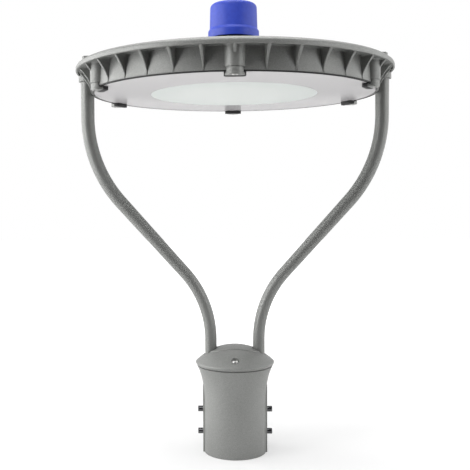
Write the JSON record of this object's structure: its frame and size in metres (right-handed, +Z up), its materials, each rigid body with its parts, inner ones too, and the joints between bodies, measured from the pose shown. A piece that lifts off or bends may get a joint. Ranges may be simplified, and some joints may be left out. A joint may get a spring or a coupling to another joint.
{
  "type": "led street light head",
  "caption": "Post-top LED street light head: round finned aluminium head with a flat glass, on two bent tube arms over a pole collar, with a blue twist-lock cap on top.",
  "frame": {"origin": "centre of the collar's bottom ring", "axes": "+Z up along the pole and through the head; the two arms stand in the XZ plane, and -Y is the side that the picture shows nearest"},
  "size_m": [0.4334, 0.4334, 0.6243],
  "materials": {
    "grey_powder_coat": "matte",
    "stainless_steel": "satin",
    "black_oxide_steel": "gloss",
    "printed_glass": "matte",
    "silicone_rubber": "matte",
    "white_board": "satin",
    "led_phosphor": "gloss",
    "white_reflector": "matte",
    "driver_case": "matte",
    "black_plastic": "matte",
    "plain_aluminium": "satin",
    "brass": "satin",
    "blue_plastic": "satin"
  },
  "bodies": {
    "root": {"pole_collar": "grey_powder_coat", "collar_lid": "grey_powder_coat", "arm_left": "grey_powder_coat", "arm_right": "grey_powder_coat", "heat_sink": "grey_powder_coat", "driver_cover": "grey_powder_coat", "lid_screws": "stainless_steel", "arm_washers": "stainless_steel", "arm_bolts": "stainless_steel", "clip_screws": "stainless_steel", "cover_screws": "stainless_steel", "board_screws": "stainless_steel", "driver_screws": "stainless_steel", "cover_clip_1": "stainless_steel", "cover_clip_2": "stainless_steel", "cover_clip_3": "stainless_steel", "cover_clip_4": "stainless_steel", "cover_clip_5": "stainless_steel", "cover_clip_6": "stainless_steel", "set_screws": "black_oxide_steel", "arm_grub_screws": "black_oxide_steel", "cover_glass": "printed_glass", "glass_seal": "silicone_rubber", "floor_grommets": "silicone_rubber", "clip_pads": "silicone_rubber", "cover_seal": "silicone_rubber", "socket_seal": "silicone_rubber", "face_seal": "silicone_rubber", "led_board": "white_board", "led_packages": "led_phosphor", "reflector": "white_reflector", "led_driver": "driver_case", "surge_protector": "black_plastic", "terminal_block": "black_plastic", "arm_end_plugs": "plain_aluminium", "cap_socket": "black_plastic", "socket_tabs": "brass", "shorting_cap_shell": "blue_plastic", "shorting_cap_base": "black_plastic", "contact_blades": "brass", "shorting_link": "brass"}
  },
  "joints": []
}
